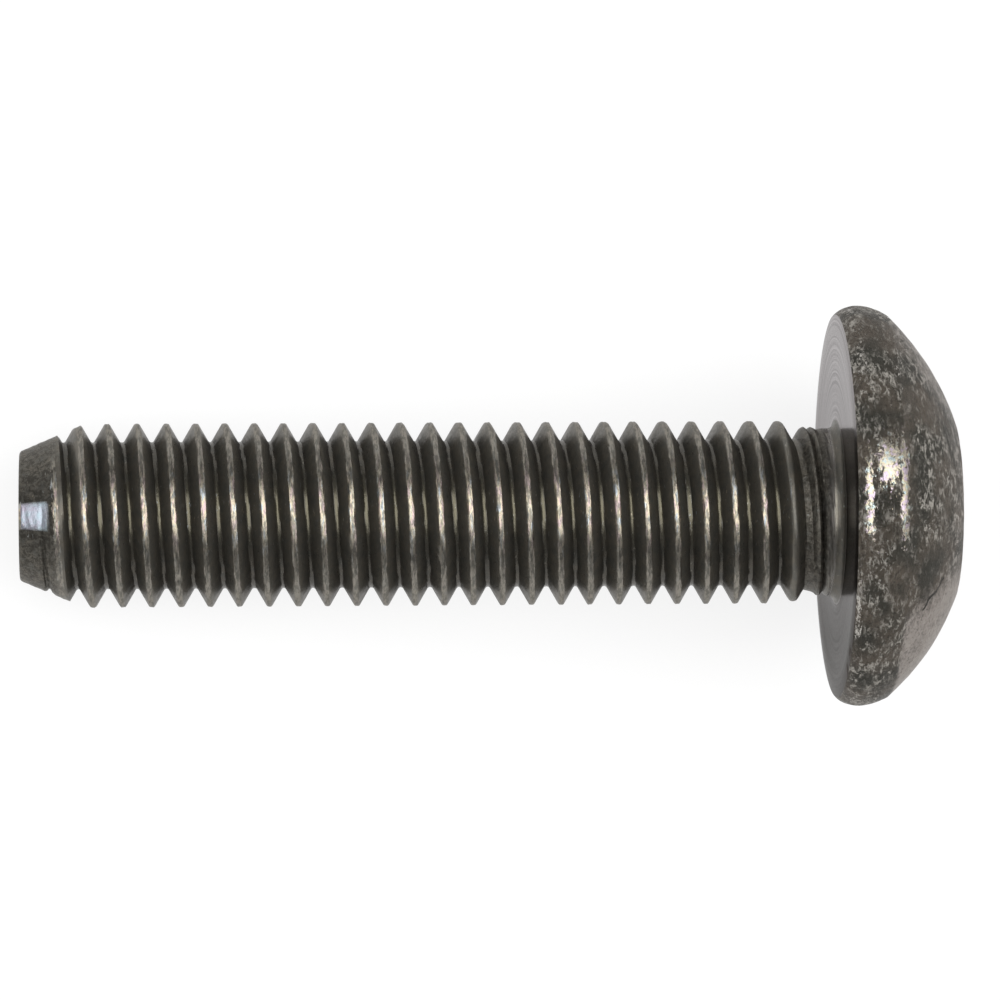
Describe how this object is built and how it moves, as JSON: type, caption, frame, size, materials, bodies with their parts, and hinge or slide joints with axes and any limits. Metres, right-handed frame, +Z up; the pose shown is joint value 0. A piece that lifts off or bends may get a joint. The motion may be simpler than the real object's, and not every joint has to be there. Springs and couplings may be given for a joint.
{
  "type": "screw",
  "caption": "Round-head machine screw in blackened steel, with a coarse rolled thread, a plain neck, a flat bearing face and a hexagon socket.",
  "frame": {"origin": "on the floor, under the middle of the screw's box as it lies at rest", "axes": "+X from the point to the head, +Z up; the screw's own axis leans about 8 degrees up towards the head, because it lies on its rim"},
  "size_m": [0.0406, 0.0172, 0.0171],
  "materials": {
    "blackened_steel": "black oxide, worn on the crests"
  },
  "bodies": {
    "root": {"screw": "blackened_steel"}
  },
  "joints": []
}
